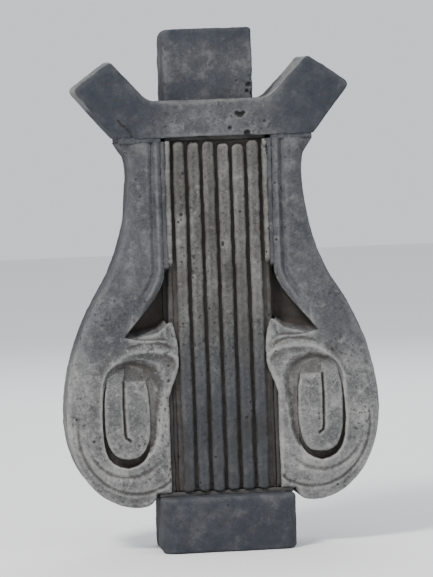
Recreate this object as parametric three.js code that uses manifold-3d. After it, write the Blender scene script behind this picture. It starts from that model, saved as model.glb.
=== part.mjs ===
// A garden-statue lyre in weathered cast stone: a plinth, a ribbed string panel between two S-shaped
// arms that end in long scrolls, and a yoke with two raised horns that carries a square block.
// It is built as separately cast pieces, set on thin mortar beds and pinned with steel dowels.
// Millimetres, +Z up. +X is the right-hand side seen from the front, and the front faces -Y.
// The origin is on the floor, under the middle of the plinth. The block sits a little left of the middle.

import * as THREE from 'three';
import { mergeVertices } from 'three/addons/utils/BufferGeometryUtils.js';
import Module from 'manifold-3d';

const wasm = await Module();
wasm.setup();

// ---------- driving dimensions ----------

const GAP = 0.3; // clearance between neighbouring pieces
const BED = 1.8; // thickness of a mortar bed
const HEIGHT = 340;

// How finely curves are stepped.
const CORNER_STEPS = 4;
const ROUND_STEPS = 2;
const MIN_STEP = 0.05; // shortest side of an outline

// Depth planes.
const BASE_FRONT = -28;
const BASE_BACK = 28;
const BODY_BACK = 26;
const YOKE_FRONT = -19;
const ARM_FRONT = -15.5;
const BEAD_FRONT = -17;
const BEAD_SEAT = -11;
const PANEL_FRONT = -11;
const STRING_DEPTH = 4.2;
const BORDER_DEPTH = 4.6;
const BLOCK_FRONT = -12;
const BLOCK_BACK = 22.5;
const BED_FRONT = -9; // mortar stays back from the visible faces
const BED_BACK = 24;
const CUT_PAST = 4; // how far a cutter stands out of the face that it cuts

// Plinth.
const BASE_WIDTH = 88;
const BASE_HEIGHT = 36;
const BASE_CORNER = 9;
const BASE_EDGE_ROUND = 2;
const BASE_BED_INSET = 3;

// String panel.
const PANEL_HALF = 33.6;
const PANEL_FOOT = BASE_HEIGHT + BED + 2 * GAP;
const STRING_COUNT = 6;
const STRING_PITCH = 9.7;
const STRING_WIDTH = 7.4;
const STRING_ARC_STEPS = 8;
const RIB_SHOULDER = 1; // straight side of a rib below its round front
const BORDER_CUT = [30, 186]; // the border is cut down here, beside the scroll and the recess
const BORDER_CUT_FRONT = -12.3;

// Yoke and horns.
const YOKE_FOOT = 270;
const YOKE_TOP = 293.8;
const YOKE_ROUND = 2;
const NECK_HALF = 64.2; // half width of the neck under each horn
const YOKE_BED_EDGE = 58;
const ARM_TOP = YOKE_FOOT - BED - 2 * GAP;

// The yoke's outline, anticlockwise from its right foot: each corner is [x, z, reach], rounded off over
// its reach. The left horn stands a little further out.
const YOKE_CORNERS = [
  [NECK_HALF, YOKE_FOOT, 0],
  [70.4, 277.2, 4],
  [88.9, 301.5, 4], // heel of the horn
  [61.6, 320.8, 3.2], // tip of the horn
  [35.4, YOKE_TOP, 5], // where the horn leaves the flat top
  [-43.5, YOKE_TOP, 5],
  [-67, 320.8, 3.2],
  [-92, 302.5, 4],
  [-71, 277.2, 4],
  [-NECK_HALF, YOKE_FOOT, 0],
];

// Block on the yoke.
const BLOCK_LEFT = -32.4;
const BLOCK_RIGHT = 26.2;
const BLOCK_ROUND = 1.5;
const BLOCK_LEFT_CORNER = 5;
const BLOCK_RIGHT_CORNER = 2.5;
const BLOCK_BED_INSET = 1;

// Arms and scrolls, right-hand side.
const ARM_INNER = PANEL_HALF + BED + 2 * GAP;
const ARM_EDGE_ROUND = 2.4;
const ARM_TOP_EDGE = 62.8;
const FOOT_LIMIT = BASE_WIDTH / 2 + 1.5; // the scroll dips below the plinth's top only outside this
const FOOT_TURN = 2; // how far out the corner is, where the foot turns into the scroll's bottom
const SCROLL_BOTTOM = 29.4;
const SCROLL_SIDE = [102.8, 88]; // widest point of the scroll
const SCROLL_KEEL = 58; // x of the scroll's lowest point
const WAIST = [77, 171];
const NECK = [56.4, 250];
const SHOULDER_PULL = [[102.8, 114], [94, 146]]; // curve controls from the scroll's side to the waist
const NECK_PULL = [[66, 187.5], [56.4, 213]]; // and from the waist to the neck
const NECK_FLARE = [1.2, 8]; // the first step of the neck towards the yoke
const ARM_CURVE_STEPS = 12;

// Deep recess between the panel and the sweep of the arm, above the scroll.
const RECESS_APEX = 183;
const RECESS_PULL = [[ARM_INNER, 172], [48.5, 160]]; // curve controls of the sweep
const RECESS_END = [63.4, 141.4];
const RECESS_SILL = 138.5;
const RECESS_SILL_END = [57.6, 139.5];
const RECESS_FLOOR = 8; // depth plane of its closed back

// Spiral groove of the scroll, an oval spiral that tightens evenly as it turns.
const SPIRAL_CENTRE = [60.2, 95.4];
const SPIRAL_RADIUS = [18.25, 40.5]; // at zero degrees, on the right
const SPIRAL_CLOSING = [13, 15]; // how much each radius loses in a full turn
const SPIRAL_START = -72; // degrees, clockwise from the right
const SPIRAL_END = 250;
const SPIRAL_STEP = 14;
const SPIRAL_WIDTH = 3.2;
const SPIRAL_DEPTH = 6;
const SPIRAL_SQUARENESS = 0.86; // below 1 flattens the oval's sides
const CORE_SQUARENESS = 0.72;

// Oval core of the scroll: an inner band that turns back on itself and ends in a tongue.
const CORE_CENTRE = [63.6, 91.4];
const CORE_HALF = [14.8, 29.6];
const CORE_DEPTH = 12;
const CORE_STEPS = 32;
const CORE_ROUND = 1;
const HOOK_TOP = [65.6, 111];
const HOOK_FOOT = [65.2, 78.5];
const HOOK_CURL = [62.2, 75];
const HOOK_WIDTH = 1.8;
const HOOK_DEPTH = 3;

// Bead that follows the arm's inner edge.
const BEAD_WIDTH = 6.8;
const BEAD_STEPS = 10;
const BEAD_ROUND = 1;

// Steel dowels.
const DOWEL_RADIUS = 4;
const PIN_RADIUS = 2;
const DOWEL_SIDES = 16;
const DOWEL_Y = 8;
const LOWER_TIE_Y = 14; // behind the scroll's groove
const PIN_DEPTHS = [ARM_FRONT + 6, 6];

// ---------- geometry helpers ----------

function clean(geometry) {
  const bare = geometry.clone();
  bare.deleteAttribute('normal');
  bare.deleteAttribute('uv');
  return mergeVertices(bare, 1e-4);
}

function toSolid(geometry) {
  const merged = clean(geometry);
  const vertProperties = new Float32Array(merged.attributes.position.array);
  const triVerts = new Uint32Array(merged.index.array);
  return new wasm.Manifold(new wasm.Mesh({ numProp: 3, vertProperties, triVerts }));
}

function toGeometry(solid) {
  const mesh = solid.getMesh();
  const geometry = new THREE.BufferGeometry();
  geometry.setAttribute('position', new THREE.BufferAttribute(mesh.vertProperties, 3));
  geometry.setIndex(new THREE.BufferAttribute(mesh.triVerts, 1));
  geometry.computeVertexNormals();
  return geometry;
}

function cut(geometry, cutters) {
  let solid = toSolid(geometry);
  for (const cutter of cutters) solid = solid.subtract(toSolid(cutter));
  return toGeometry(solid);
}

// The same outline as straight steps, with no two points in one place.
function stepped(shape, curveSteps) {
  const points = shape.getPoints(curveSteps);
  const kept = points.filter((point, i) => {
    const next = points[(i + 1) % points.length];
    return point.distanceTo(next) > MIN_STEP;
  });
  return new THREE.Shape(kept);
}

// A front-view outline (x, z) given thickness between two depth planes, with rounded front and back edges.
function slab(shape, front, back, { round = 0, curveSteps = CORNER_STEPS } = {}) {
  const geometry = new THREE.ExtrudeGeometry(stepped(shape, curveSteps), {
    depth: back - front - 2 * round,
    bevelEnabled: round > 0,
    bevelThickness: round,
    bevelSize: round,
    bevelOffset: -round,
    bevelSegments: ROUND_STEPS,
  });
  geometry.rotateX(Math.PI / 2);
  geometry.translate(0, back - round, 0);
  return geometry;
}

// A plan outline (x, y) raised between two heights.
function prism(shape, bottom, top, round = 0) {
  const geometry = new THREE.ExtrudeGeometry(shape, {
    depth: top - bottom - 2 * round,
    curveSegments: CORNER_STEPS,
    bevelEnabled: round > 0,
    bevelThickness: round,
    bevelSize: round,
    bevelOffset: -round,
    bevelSegments: ROUND_STEPS,
  });
  geometry.translate(0, 0, bottom + round);
  return geometry;
}

function brick(low, high) {
  const size = high.map((value, i) => value - low[i]);
  const geometry = new THREE.BoxGeometry(...size);
  geometry.translate(...low.map((value, i) => value + size[i] / 2));
  return geometry;
}

// A round bar from one point to another along one of the axes.
function bar(from, to, radius) {
  const start = new THREE.Vector3(...from);
  const end = new THREE.Vector3(...to);
  const length = start.distanceTo(end);
  const geometry = new THREE.CylinderGeometry(radius, radius, length, DOWEL_SIDES);
  const turn = new THREE.Quaternion();
  turn.setFromUnitVectors(new THREE.Vector3(0, 1, 0), end.clone().sub(start).normalize());
  geometry.applyQuaternion(turn);
  geometry.translate(...start.add(end).multiplyScalar(0.5).toArray());
  return geometry;
}

// The hole that a dowel sits in: a little wider and longer than the dowel.
function socket({ from, to, radius }) {
  const start = new THREE.Vector3(...from);
  const end = new THREE.Vector3(...to);
  const reach = end.clone().sub(start).normalize().multiplyScalar(GAP);
  return bar(start.sub(reach).toArray(), end.add(reach).toArray(), radius + GAP);
}

// An outline through corners [x, y, reach], each rounded off from reach before it to reach after it.
function softened(corners) {
  const shape = new THREE.Shape();
  corners.forEach(([x, y, reach], i) => {
    const corner = new THREE.Vector2(x, y);
    const neighbours = [corners.at(i - 1), corners[(i + 1) % corners.length]];
    const [before, after] = neighbours.map(([nextX, nextY]) => {
      const side = new THREE.Vector2(nextX, nextY).sub(corner).setLength(reach);
      return side.add(corner);
    });
    if (i === 0) shape.moveTo(before.x, before.y);
    else shape.lineTo(before.x, before.y);
    if (reach > 0) shape.quadraticCurveTo(x, y, after.x, after.y);
  });
  return shape;
}

function mirrored(geometry) {
  const copy = clean(geometry);
  copy.scale(-1, 1, 1);
  const index = copy.index.array;
  for (let i = 0; i < index.length; i += 3) {
    const held = index[i];
    index[i] = index[i + 1];
    index[i + 1] = held;
  }
  copy.computeVertexNormals();
  return copy;
}

function mirroredDowel({ from, to, radius }) {
  return { from: [-from[0], from[1], from[2]], to: [-to[0], to[1], to[2]], radius };
}

// A band of even width: the curve's points on one side, and the same points moved sideways.
function ribbon(points, near, far) {
  const sides = points.map((point, i) => {
    const ahead = points[Math.min(i + 1, points.length - 1)];
    const behind = points[Math.max(i - 1, 0)];
    const normal = ahead.clone().sub(behind).normalize();
    normal.set(-normal.y, normal.x);
    return [
      point.clone().addScaledVector(normal, near),
      point.clone().addScaledVector(normal, far),
    ];
  });
  const outline = sides.map((side) => side[0]);
  outline.push(...sides.map((side) => side[1]).reverse());
  return new THREE.Shape(outline);
}

// ---------- dowels ----------

const dowels = {
  top_block_dowel: { from: [0, DOWEL_Y, 276], to: [0, DOWEL_Y, 318], radius: DOWEL_RADIUS },
};

const rightDowels = {
  yoke_dowel: { from: [48.5, DOWEL_Y, 244], to: [48.5, DOWEL_Y, 287], radius: DOWEL_RADIUS },
  panel_dowel: { from: [22, DOWEL_Y, 246], to: [22, DOWEL_Y, 286], radius: DOWEL_RADIUS },
  base_dowel: { from: [22, DOWEL_Y, 14], to: [22, DOWEL_Y, 66], radius: DOWEL_RADIUS },
  upper_tie_dowel: { from: [18, DOWEL_Y, 222], to: [52, DOWEL_Y, 222], radius: DOWEL_RADIUS },
  lower_tie_dowel: { from: [14, LOWER_TIE_Y, 88], to: [72, LOWER_TIE_Y, 88], radius: DOWEL_RADIUS },
  scroll_pin: {
    from: [CORE_CENTRE[0], PIN_DEPTHS[0], CORE_CENTRE[1]],
    to: [CORE_CENTRE[0], PIN_DEPTHS[1], CORE_CENTRE[1]],
    radius: PIN_RADIUS,
  },
};

for (const [name, dowel] of Object.entries(rightDowels)) {
  dowels[`right_${name}`] = dowel;
  dowels[`left_${name}`] = mirroredDowel(dowel);
}

function sockets(...names) {
  return names.map((name) => socket(dowels[name]));
}

// ---------- plinth, panel and strings ----------

function basePlinth() {
  const half = BASE_WIDTH / 2;
  const plan = softened([
    [-half, BASE_FRONT, BASE_CORNER],
    [half, BASE_FRONT, BASE_CORNER],
    [half, BASE_BACK, BASE_CORNER],
    [-half, BASE_BACK, BASE_CORNER],
  ]);
  const blank = prism(plan, 0, BASE_HEIGHT, BASE_EDGE_ROUND);
  return cut(blank, sockets('left_base_dowel', 'right_base_dowel'));
}

function baseBed() {
  const half = BASE_WIDTH / 2 - BASE_BED_INSET;
  const low = BASE_HEIGHT + GAP;
  const bed = brick([-half, BED_FRONT, low], [half, BED_BACK, low + BED]);
  return cut(bed, sockets('left_base_dowel', 'right_base_dowel'));
}

function stringPanel() {
  const low = [-PANEL_HALF, PANEL_FRONT, PANEL_FOOT];
  const high = [PANEL_HALF, BODY_BACK, ARM_TOP];
  const kinds = ['panel_dowel', 'base_dowel', 'upper_tie_dowel', 'lower_tie_dowel'];
  const names = kinds.flatMap((kind) => [`left_${kind}`, `right_${kind}`]);
  return cut(brick(low, high), sockets(...names));
}

// A rib with a flat back against the panel and a rounded front.
function rib(centre, width, depth, steps) {
  const back = PANEL_FRONT - GAP;
  const shape = new THREE.Shape();
  shape.moveTo(centre - width / 2, back);
  for (let i = 0; i <= steps; i += 1) {
    const angle = (Math.PI * i) / steps;
    const x = centre - (width / 2) * Math.cos(angle);
    shape.lineTo(x, back - RIB_SHOULDER - (depth - RIB_SHOULDER) * Math.sin(angle));
  }
  shape.lineTo(centre + width / 2, back);
  return prism(shape, PANEL_FOOT, ARM_TOP);
}

function stringX(number) {
  return (number - (STRING_COUNT + 1) / 2) * STRING_PITCH;
}

// The plain rib at each side of the strings.
function border() {
  const inner = (STRING_COUNT / 2) * STRING_PITCH + (STRING_PITCH - STRING_WIDTH) / 2;
  const blank = rib((PANEL_HALF + inner) / 2, PANEL_HALF - inner, BORDER_DEPTH, STRING_ARC_STEPS);
  const low = [inner - CUT_PAST, ARM_FRONT - CUT_PAST, BORDER_CUT[0]];
  const high = [PANEL_HALF + CUT_PAST, BORDER_CUT_FRONT, BORDER_CUT[1]];
  return cut(blank, [brick(low, high)]);
}

// ---------- yoke and block ----------

function yoke() {
  const blank = slab(softened(YOKE_CORNERS), YOKE_FRONT, BODY_BACK, { round: YOKE_ROUND });
  const kinds = ['yoke_dowel', 'panel_dowel'];
  const names = kinds.flatMap((kind) => [`left_${kind}`, `right_${kind}`]);
  return cut(blank, sockets('top_block_dowel', ...names));
}

function yokeBed(low, high, dowelNames) {
  const bottom = ARM_TOP + GAP;
  const bed = brick([low, BED_FRONT, bottom], [high, BED_BACK, bottom + BED]);
  return cut(bed, sockets(...dowelNames));
}

function topBlock() {
  const foot = YOKE_TOP + BED + 2 * GAP;
  const shape = softened([
    [BLOCK_LEFT, foot, 0],
    [BLOCK_RIGHT, foot, 0],
    [BLOCK_RIGHT, HEIGHT, BLOCK_RIGHT_CORNER],
    [BLOCK_LEFT, HEIGHT, BLOCK_LEFT_CORNER],
  ]);
  const blank = slab(shape, BLOCK_FRONT, BLOCK_BACK, { round: BLOCK_ROUND });
  return cut(blank, sockets('top_block_dowel'));
}

function topBed() {
  const bottom = YOKE_TOP + GAP;
  const low = [BLOCK_LEFT + BLOCK_BED_INSET, BLOCK_FRONT + BLOCK_BED_INSET, bottom];
  const high = [BLOCK_RIGHT - BLOCK_BED_INSET, BLOCK_BACK - BLOCK_BED_INSET, bottom + BED];
  return cut(brick(low, high), sockets('top_block_dowel'));
}

// ---------- right arm ----------

function armOutline() {
  const shape = new THREE.Shape();
  shape.moveTo(ARM_INNER, ARM_TOP);
  shape.lineTo(ARM_INNER, PANEL_FOOT);
  shape.lineTo(FOOT_LIMIT, PANEL_FOOT);
  shape.quadraticCurveTo(FOOT_LIMIT + FOOT_TURN, SCROLL_BOTTOM, SCROLL_KEEL, SCROLL_BOTTOM);
  const width = SCROLL_SIDE[0] - SCROLL_KEEL;
  const height = SCROLL_SIDE[1] - SCROLL_BOTTOM;
  shape.absellipse(SCROLL_KEEL, SCROLL_SIDE[1], width, height, -Math.PI / 2, 0, false);
  shape.bezierCurveTo(...SHOULDER_PULL.flat(), ...WAIST);
  shape.bezierCurveTo(...NECK_PULL.flat(), ...NECK);
  shape.lineTo(NECK[0] + NECK_FLARE[0], NECK[1] + NECK_FLARE[1]);
  shape.lineTo(ARM_TOP_EDGE, ARM_TOP);
  return shape;
}

// Inner edge of the arm's sweep: straight beside the panel, then an S out to the scroll.
function sweepPoints() {
  const path = new THREE.Path();
  path.moveTo(ARM_INNER, ARM_TOP);
  path.lineTo(ARM_INNER, RECESS_APEX);
  path.bezierCurveTo(...RECESS_PULL.flat(), ...RECESS_END);
  return path.getPoints(BEAD_STEPS);
}

function recess() {
  const sweep = sweepPoints().slice(1);
  const shape = new THREE.Shape(sweep);
  shape.lineTo(...RECESS_SILL_END);
  shape.lineTo(ARM_INNER - CUT_PAST, RECESS_SILL);
  shape.lineTo(ARM_INNER - CUT_PAST, RECESS_APEX);
  return slab(shape, ARM_FRONT - CUT_PAST, RECESS_FLOOR);
}

// A point on an oval with flattened sides; the angle is in degrees, clockwise from the right.
function ovalPoint(centre, radius, degrees, squareness) {
  const angle = -THREE.MathUtils.degToRad(degrees);
  const squared = (value) => Math.sign(value) * Math.abs(value) ** squareness;
  return new THREE.Vector2(
    centre[0] + radius[0] * squared(Math.cos(angle)),
    centre[1] + radius[1] * squared(Math.sin(angle)),
  );
}

function spiralGroove() {
  const points = [];
  for (let degrees = SPIRAL_START; degrees <= SPIRAL_END; degrees += SPIRAL_STEP) {
    const radius = SPIRAL_RADIUS.map((value, i) => value - (SPIRAL_CLOSING[i] * degrees) / 360);
    points.push(ovalPoint(SPIRAL_CENTRE, radius, degrees, SPIRAL_SQUARENESS));
  }
  const band = ribbon(points, -SPIRAL_WIDTH / 2, SPIRAL_WIDTH / 2);
  return slab(band, ARM_FRONT - CUT_PAST, ARM_FRONT + SPIRAL_DEPTH);
}

function coreOutline(grow) {
  const radius = CORE_HALF.map((value) => value + grow);
  const points = [];
  for (let i = 0; i < CORE_STEPS; i += 1) {
    points.push(ovalPoint(CORE_CENTRE, radius, (-360 * i) / CORE_STEPS, CORE_SQUARENESS));
  }
  return new THREE.Shape(points);
}

// The line between the tongue and the inner band, curling under the tongue.
function hookGroove() {
  const path = new THREE.Path();
  path.moveTo(...HOOK_TOP);
  path.lineTo(...HOOK_FOOT);
  path.quadraticCurveTo(HOOK_FOOT[0], HOOK_CURL[1], ...HOOK_CURL);
  const band = ribbon(path.getPoints(CORNER_STEPS), -HOOK_WIDTH / 2, HOOK_WIDTH / 2);
  return slab(band, ARM_FRONT - CUT_PAST, ARM_FRONT + HOOK_DEPTH);
}

function beadOutline(grow) {
  return ribbon(sweepPoints(), -grow, BEAD_WIDTH + grow);
}

function arm() {
  const edges = { round: ARM_EDGE_ROUND, curveSteps: ARM_CURVE_STEPS };
  const blank = slab(armOutline(), ARM_FRONT, BODY_BACK, edges);
  return cut(blank, [
    recess(),
    slab(beadOutline(GAP), ARM_FRONT - CUT_PAST, BEAD_SEAT + GAP),
    spiralGroove(),
    slab(coreOutline(GAP), ARM_FRONT - CUT_PAST, ARM_FRONT + CORE_DEPTH + GAP),
    ...sockets('right_yoke_dowel', 'right_upper_tie_dowel', 'right_lower_tie_dowel', 'right_scroll_pin'),
  ]);
}

function armBed() {
  const low = [PANEL_HALF + GAP, BED_FRONT, PANEL_FOOT];
  const high = [PANEL_HALF + GAP + BED, BED_BACK, ARM_TOP];
  return cut(brick(low, high), sockets('right_upper_tie_dowel', 'right_lower_tie_dowel'));
}

function scrollCore() {
  const blank = slab(coreOutline(0), ARM_FRONT, ARM_FRONT + CORE_DEPTH, { round: CORE_ROUND });
  return cut(blank, [hookGroove(), ...sockets('right_scroll_pin')]);
}

function bead() {
  return slab(beadOutline(0), BEAD_FRONT, BEAD_SEAT, { round: BEAD_ROUND });
}

// ---------- materials ----------

function paint(colour, roughness, metalness = 0) {
  return () => new THREE.MeshStandardMaterial({ color: colour, roughness, metalness });
}

const castStone = paint('#a9a69f', 0.95);
const ribStone = paint('#a89f90', 0.95);
const mortar = paint('#b9b5aa', 0.98);
const steel = paint('#8d9093', 0.4, 1);

// ---------- assembly ----------

const lyre = new THREE.Group();

function add(name, geometry, material) {
  const mesh = new THREE.Mesh(geometry, material());
  mesh.name = name;
  lyre.add(mesh);
}

function addPair(name, geometry, material) {
  add(`right_${name}`, geometry, material);
  add(`left_${name}`, mirrored(geometry), material);
}

add('base_block', basePlinth(), castStone);
add('base_bed', baseBed(), mortar);
add('string_panel', stringPanel(), castStone);

for (let number = 1; number <= STRING_COUNT; number += 1) {
  const string = rib(stringX(number), STRING_WIDTH, STRING_DEPTH, STRING_ARC_STEPS);
  add(`string_${number}`, string, ribStone);
}

addPair('border', border(), ribStone);

addPair('arm', arm(), castStone);
addPair('arm_bed', armBed(), mortar);
addPair('bead', bead(), castStone);
addPair('scroll_core', scrollCore(), castStone);

add('yoke', yoke(), castStone);
add('centre_yoke_bed', yokeBed(-PANEL_HALF, PANEL_HALF, ['left_panel_dowel', 'right_panel_dowel']), mortar);
addPair('yoke_bed', yokeBed(ARM_INNER, YOKE_BED_EDGE, ['right_yoke_dowel']), mortar);
add('top_bed', topBed(), mortar);
add('top_block', topBlock(), castStone);

for (const [name, { from, to, radius }] of Object.entries(dowels)) {
  add(name, bar(from, to, radius), steel);
}

export default lyre;
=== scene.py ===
import itertools
import math

import bpy
import numpy as np
from mathutils import Matrix, Vector


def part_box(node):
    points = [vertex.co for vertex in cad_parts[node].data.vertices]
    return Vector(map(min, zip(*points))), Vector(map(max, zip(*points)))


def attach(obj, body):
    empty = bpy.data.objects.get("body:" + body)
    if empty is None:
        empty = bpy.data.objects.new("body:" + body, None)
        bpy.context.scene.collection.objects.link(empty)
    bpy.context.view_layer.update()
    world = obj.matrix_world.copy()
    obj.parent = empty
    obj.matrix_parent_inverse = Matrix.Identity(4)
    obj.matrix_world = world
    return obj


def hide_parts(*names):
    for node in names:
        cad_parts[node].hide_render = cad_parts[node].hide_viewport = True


# A weathered cast-stone lyre. Each stone of the CAD frame is carved again as a fine solid: its outline
# comes from the CAD solid, and the worn edges, relief, pits and grain are worked into a field of signed
# distances, whose zero surface becomes the mesh. Lengths in the carving code are millimetres.

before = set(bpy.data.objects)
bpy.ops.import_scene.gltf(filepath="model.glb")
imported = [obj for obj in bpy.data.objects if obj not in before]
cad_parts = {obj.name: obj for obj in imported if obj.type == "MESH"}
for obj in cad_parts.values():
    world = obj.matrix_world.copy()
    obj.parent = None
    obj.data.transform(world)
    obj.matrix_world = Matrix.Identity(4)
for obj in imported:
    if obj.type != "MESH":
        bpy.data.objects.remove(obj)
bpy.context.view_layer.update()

MM = 0.001
FINE = 0.8  # spacing of the carving grid
RIB_FINE = 0.6
COARSE = 1.2
MARGIN = 3  # empty grid steps kept around each piece
SPECK = 120  # a loose shell with fewer points than this is a crumb


# ---------- reading the frame ----------

def box_mm(node, side=1):
    """Lowest and highest corner of a CAD node; a left-hand one (side -1) as it would be on the right."""
    low, high = (np.array(corner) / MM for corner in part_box(node))
    if side < 0:
        low[0], high[0] = -high[0], -low[0]
    return low, high


def ring(node, plane):
    """The closed outline (x, z) of a CAD solid at a depth where it has a row of corners."""
    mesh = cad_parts[node].data
    points = np.array([v.co for v in mesh.vertices]) / MM
    near = {}
    for edge in mesh.edges:
        a, b = (tuple(np.round(points[i], 2)) for i in edge.vertices)
        if a != b and abs(a[1] - plane) < 0.02 and abs(b[1] - plane) < 0.02:
            near.setdefault(a, set()).add(b)
            near.setdefault(b, set()).add(a)
    start = min(near)
    path = [start]
    step = min(near[start])
    while step != start:
        path.append(step)
        ahead = [n for n in near[step] if n != path[-2]]
        step = ahead[0]
    return np.array([(x, z) for x, _, z in path])


# ---------- noise ----------

LATTICE = 32
lattice = np.random.default_rng(5).uniform(-1, 1, (LATTICE,) * 3).astype(np.float32)
scatter = np.random.default_rng(9).random((LATTICE, LATTICE, LATTICE, 5)).astype(np.float32)


def noise(x, y, z, size, seed=0):
    """Smooth noise from -1 to 1, with lumps about size mm across."""
    axes = []
    for number, values in enumerate((x, y, z)):
        scaled = np.asarray(values, np.float32) / size + (seed + 1) * (3.71 + 1.37 * number)
        cell = np.floor(scaled).astype(np.int64)
        part = scaled - cell
        axes.append((cell % LATTICE, (cell + 1) % LATTICE, part * part * (3 - 2 * part)))
    total = 0
    for picks in itertools.product((0, 1), repeat=3):
        weight = 1
        for pick, (_, _, part) in zip(picks, axes):
            weight = weight * (part if pick else 1 - part)
        total = total + weight * lattice[tuple(axis[pick] for pick, axis in zip(picks, axes))]
    return total


def pits(points, spacing, radius, share, seed=0):
    """How deep each point lies in scattered round pits: 0 outside them, 1 in a pit's middle."""
    home = np.floor(points / spacing).astype(np.int64)
    depth = np.zeros(len(points), np.float32)
    for shift in itertools.product((-1, 0, 1), repeat=3):
        cell = home + np.array(shift)
        chance = scatter[tuple(((cell + seed * 7) % LATTICE).T)]
        centre = (cell + chance[:, :3]) * spacing
        size = radius * (0.45 + chance[:, 3])
        away = np.linalg.norm(points - centre, axis=1) / size
        here = np.clip(1 - away * away, 0, 1) * (chance[:, 4] < share)
        depth = np.maximum(depth, here)
    return depth


# ---------- signed distances ----------

def smooth(low, high, value):
    part = np.clip((value - low) / (high - low), 0, 1)
    return part * part * (3 - 2 * part)


def fall(low, high, value):
    return 1 - smooth(low, high, value)


def plateau(value, rise, drop):
    """1 between a rise and a drop, each given by where its ramp starts and ends."""
    return smooth(*rise, value) * fall(*drop, value)


def bump(distance, width):
    return np.exp(-((distance / width) ** 2))


def outline_distance(x, z, outline):
    """Distance to a closed outline, negative inside it, over a grid of x by z."""
    px, pz = np.meshgrid(x, z, indexing="ij")
    nearest = np.full(px.shape, 1e9)
    inside = np.zeros(px.shape, bool)
    for (ax, az), (bx, bz) in zip(outline, np.roll(outline, -1, axis=0)):
        ex, ez = bx - ax, bz - az
        along = np.clip(((px - ax) * ex + (pz - az) * ez) / (ex * ex + ez * ez), 0, 1)
        nearest = np.minimum(nearest, (px - ax - along * ex) ** 2 + (pz - az - along * ez) ** 2)
        if ez:
            inside ^= ((az > pz) != (bz > pz)) & (px < ax + (pz - az) / ez * ex)
    return np.where(inside, -1, 1) * np.sqrt(nearest)


def path_distance(px, pz, path):
    """Distance to an open path of straight steps."""
    nearest = np.full(px.shape, 1e9)
    for (ax, az), (bx, bz) in zip(path, path[1:]):
        ex, ez = bx - ax, bz - az
        along = np.clip(((px - ax) * ex + (pz - az) * ez) / (ex * ex + ez * ez), 0, 1)
        nearest = np.minimum(nearest, (px - ax - along * ex) ** 2 + (pz - az - along * ez) ** 2)
    return np.sqrt(nearest)


def rounded(first, second, radius):
    """Where two distances meet at an edge, the edge is rounded to the radius."""
    a, b = first + radius, second + radius
    return np.minimum(np.maximum(a, b), 0) + np.hypot(np.maximum(a, 0), np.maximum(b, 0)) - radius


def curve(points, steps=12):
    """A cubic Bezier curve as straight steps."""
    a, b, c, d = (np.array(p, float) for p in points)
    t = np.linspace(0, 1, steps + 1)[:, None]
    return a * (1 - t) ** 3 + 3 * b * t * (1 - t) ** 2 + 3 * c * t * t * (1 - t) + d * t**3


class Grid:
    """Sample points around a box, in millimetres."""

    def __init__(self, low, high, step):
        self.step = step
        self.low = np.array(low, float) - MARGIN * step
        count = np.ceil((np.array(high, float) - self.low) / step).astype(int) + MARGIN + 1
        self.flat = [self.low[i] + step * np.arange(count[i]) for i in range(3)]
        self.x = self.flat[0][:, None, None].astype(np.float32)
        self.y = self.flat[1][None, :, None].astype(np.float32)
        self.z = self.flat[2][None, None, :].astype(np.float32)

    def noise(self, size, seed=0):
        return noise(self.x, self.y, self.z, size, seed)

    def front_view(self):
        return np.meshgrid(self.flat[0], self.flat[2], indexing="ij")


def box_field(grid, low, high, radius):
    """Distance to a box with rounded edges."""
    terms = []
    for values, a, b in zip((grid.x, grid.y, grid.z), low, high):
        terms.append(np.abs(values - (a + b) / 2) - (b - a) / 2)
    return rounded(rounded(terms[0], terms[1], radius), terms[2], radius)


def bore(grid, node, side, clearance=0.35):
    """Distance to the hole for a CAD dowel or pin, which lies along one of the axes."""
    low, high = box_mm(node, side)
    size = high - low
    along = int(np.argmax(size))
    others = [axis for axis in range(3) if axis != along]
    values = (grid.x, grid.y, grid.z)
    middle = (low + high) / 2
    radius = size[others[0]] / 2 + clearance
    away = np.hypot(*(values[axis] - middle[axis] for axis in others)) - radius
    ends = np.abs(values[along] - middle[along]) - size[along] / 2 - clearance
    return np.maximum(away, ends)


def drill(grid, field, nodes, side=1):
    for node in nodes:
        field = np.maximum(field, -bore(grid, node, side))
    return field


# ---------- from a field to a mesh ----------

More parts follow.
